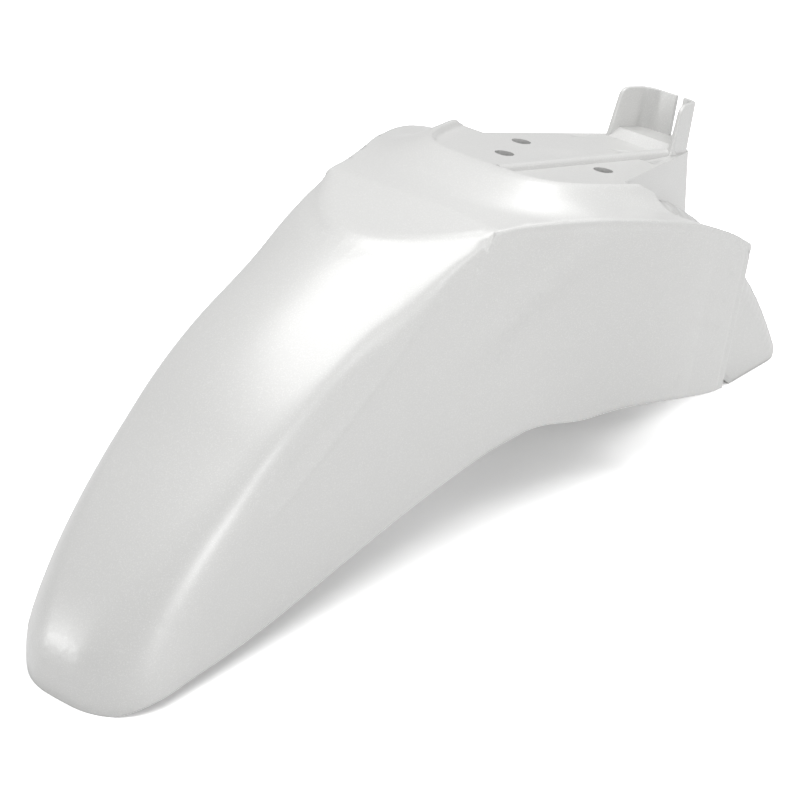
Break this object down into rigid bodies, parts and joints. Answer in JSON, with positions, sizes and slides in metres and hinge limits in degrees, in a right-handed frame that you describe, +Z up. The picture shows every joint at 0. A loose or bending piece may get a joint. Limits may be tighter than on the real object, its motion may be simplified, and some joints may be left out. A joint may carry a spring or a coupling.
{
  "type": "scooter front mudguard",
  "caption": "Glossy moulded front mudguard: long rounded nose, creased top shield with flared side wings, sunk mounting deck with an open slit collar, and a tail.",
  "frame": {"origin": "on the floor plane, under the middle of the length and on the centre plane of the mudguard", "axes": "+X to the rear along the length, +Z up, +Y across; the mudguard lies on its tail and the tip of its nose"},
  "size_m": [0.6448, 0.2372, 0.2213],
  "materials": {
    "pearl_white": "pearl white paint under a glossy clear coat"
  },
  "bodies": {
    "root": {"mudguard": "pearl_white"}
  },
  "joints": []
}
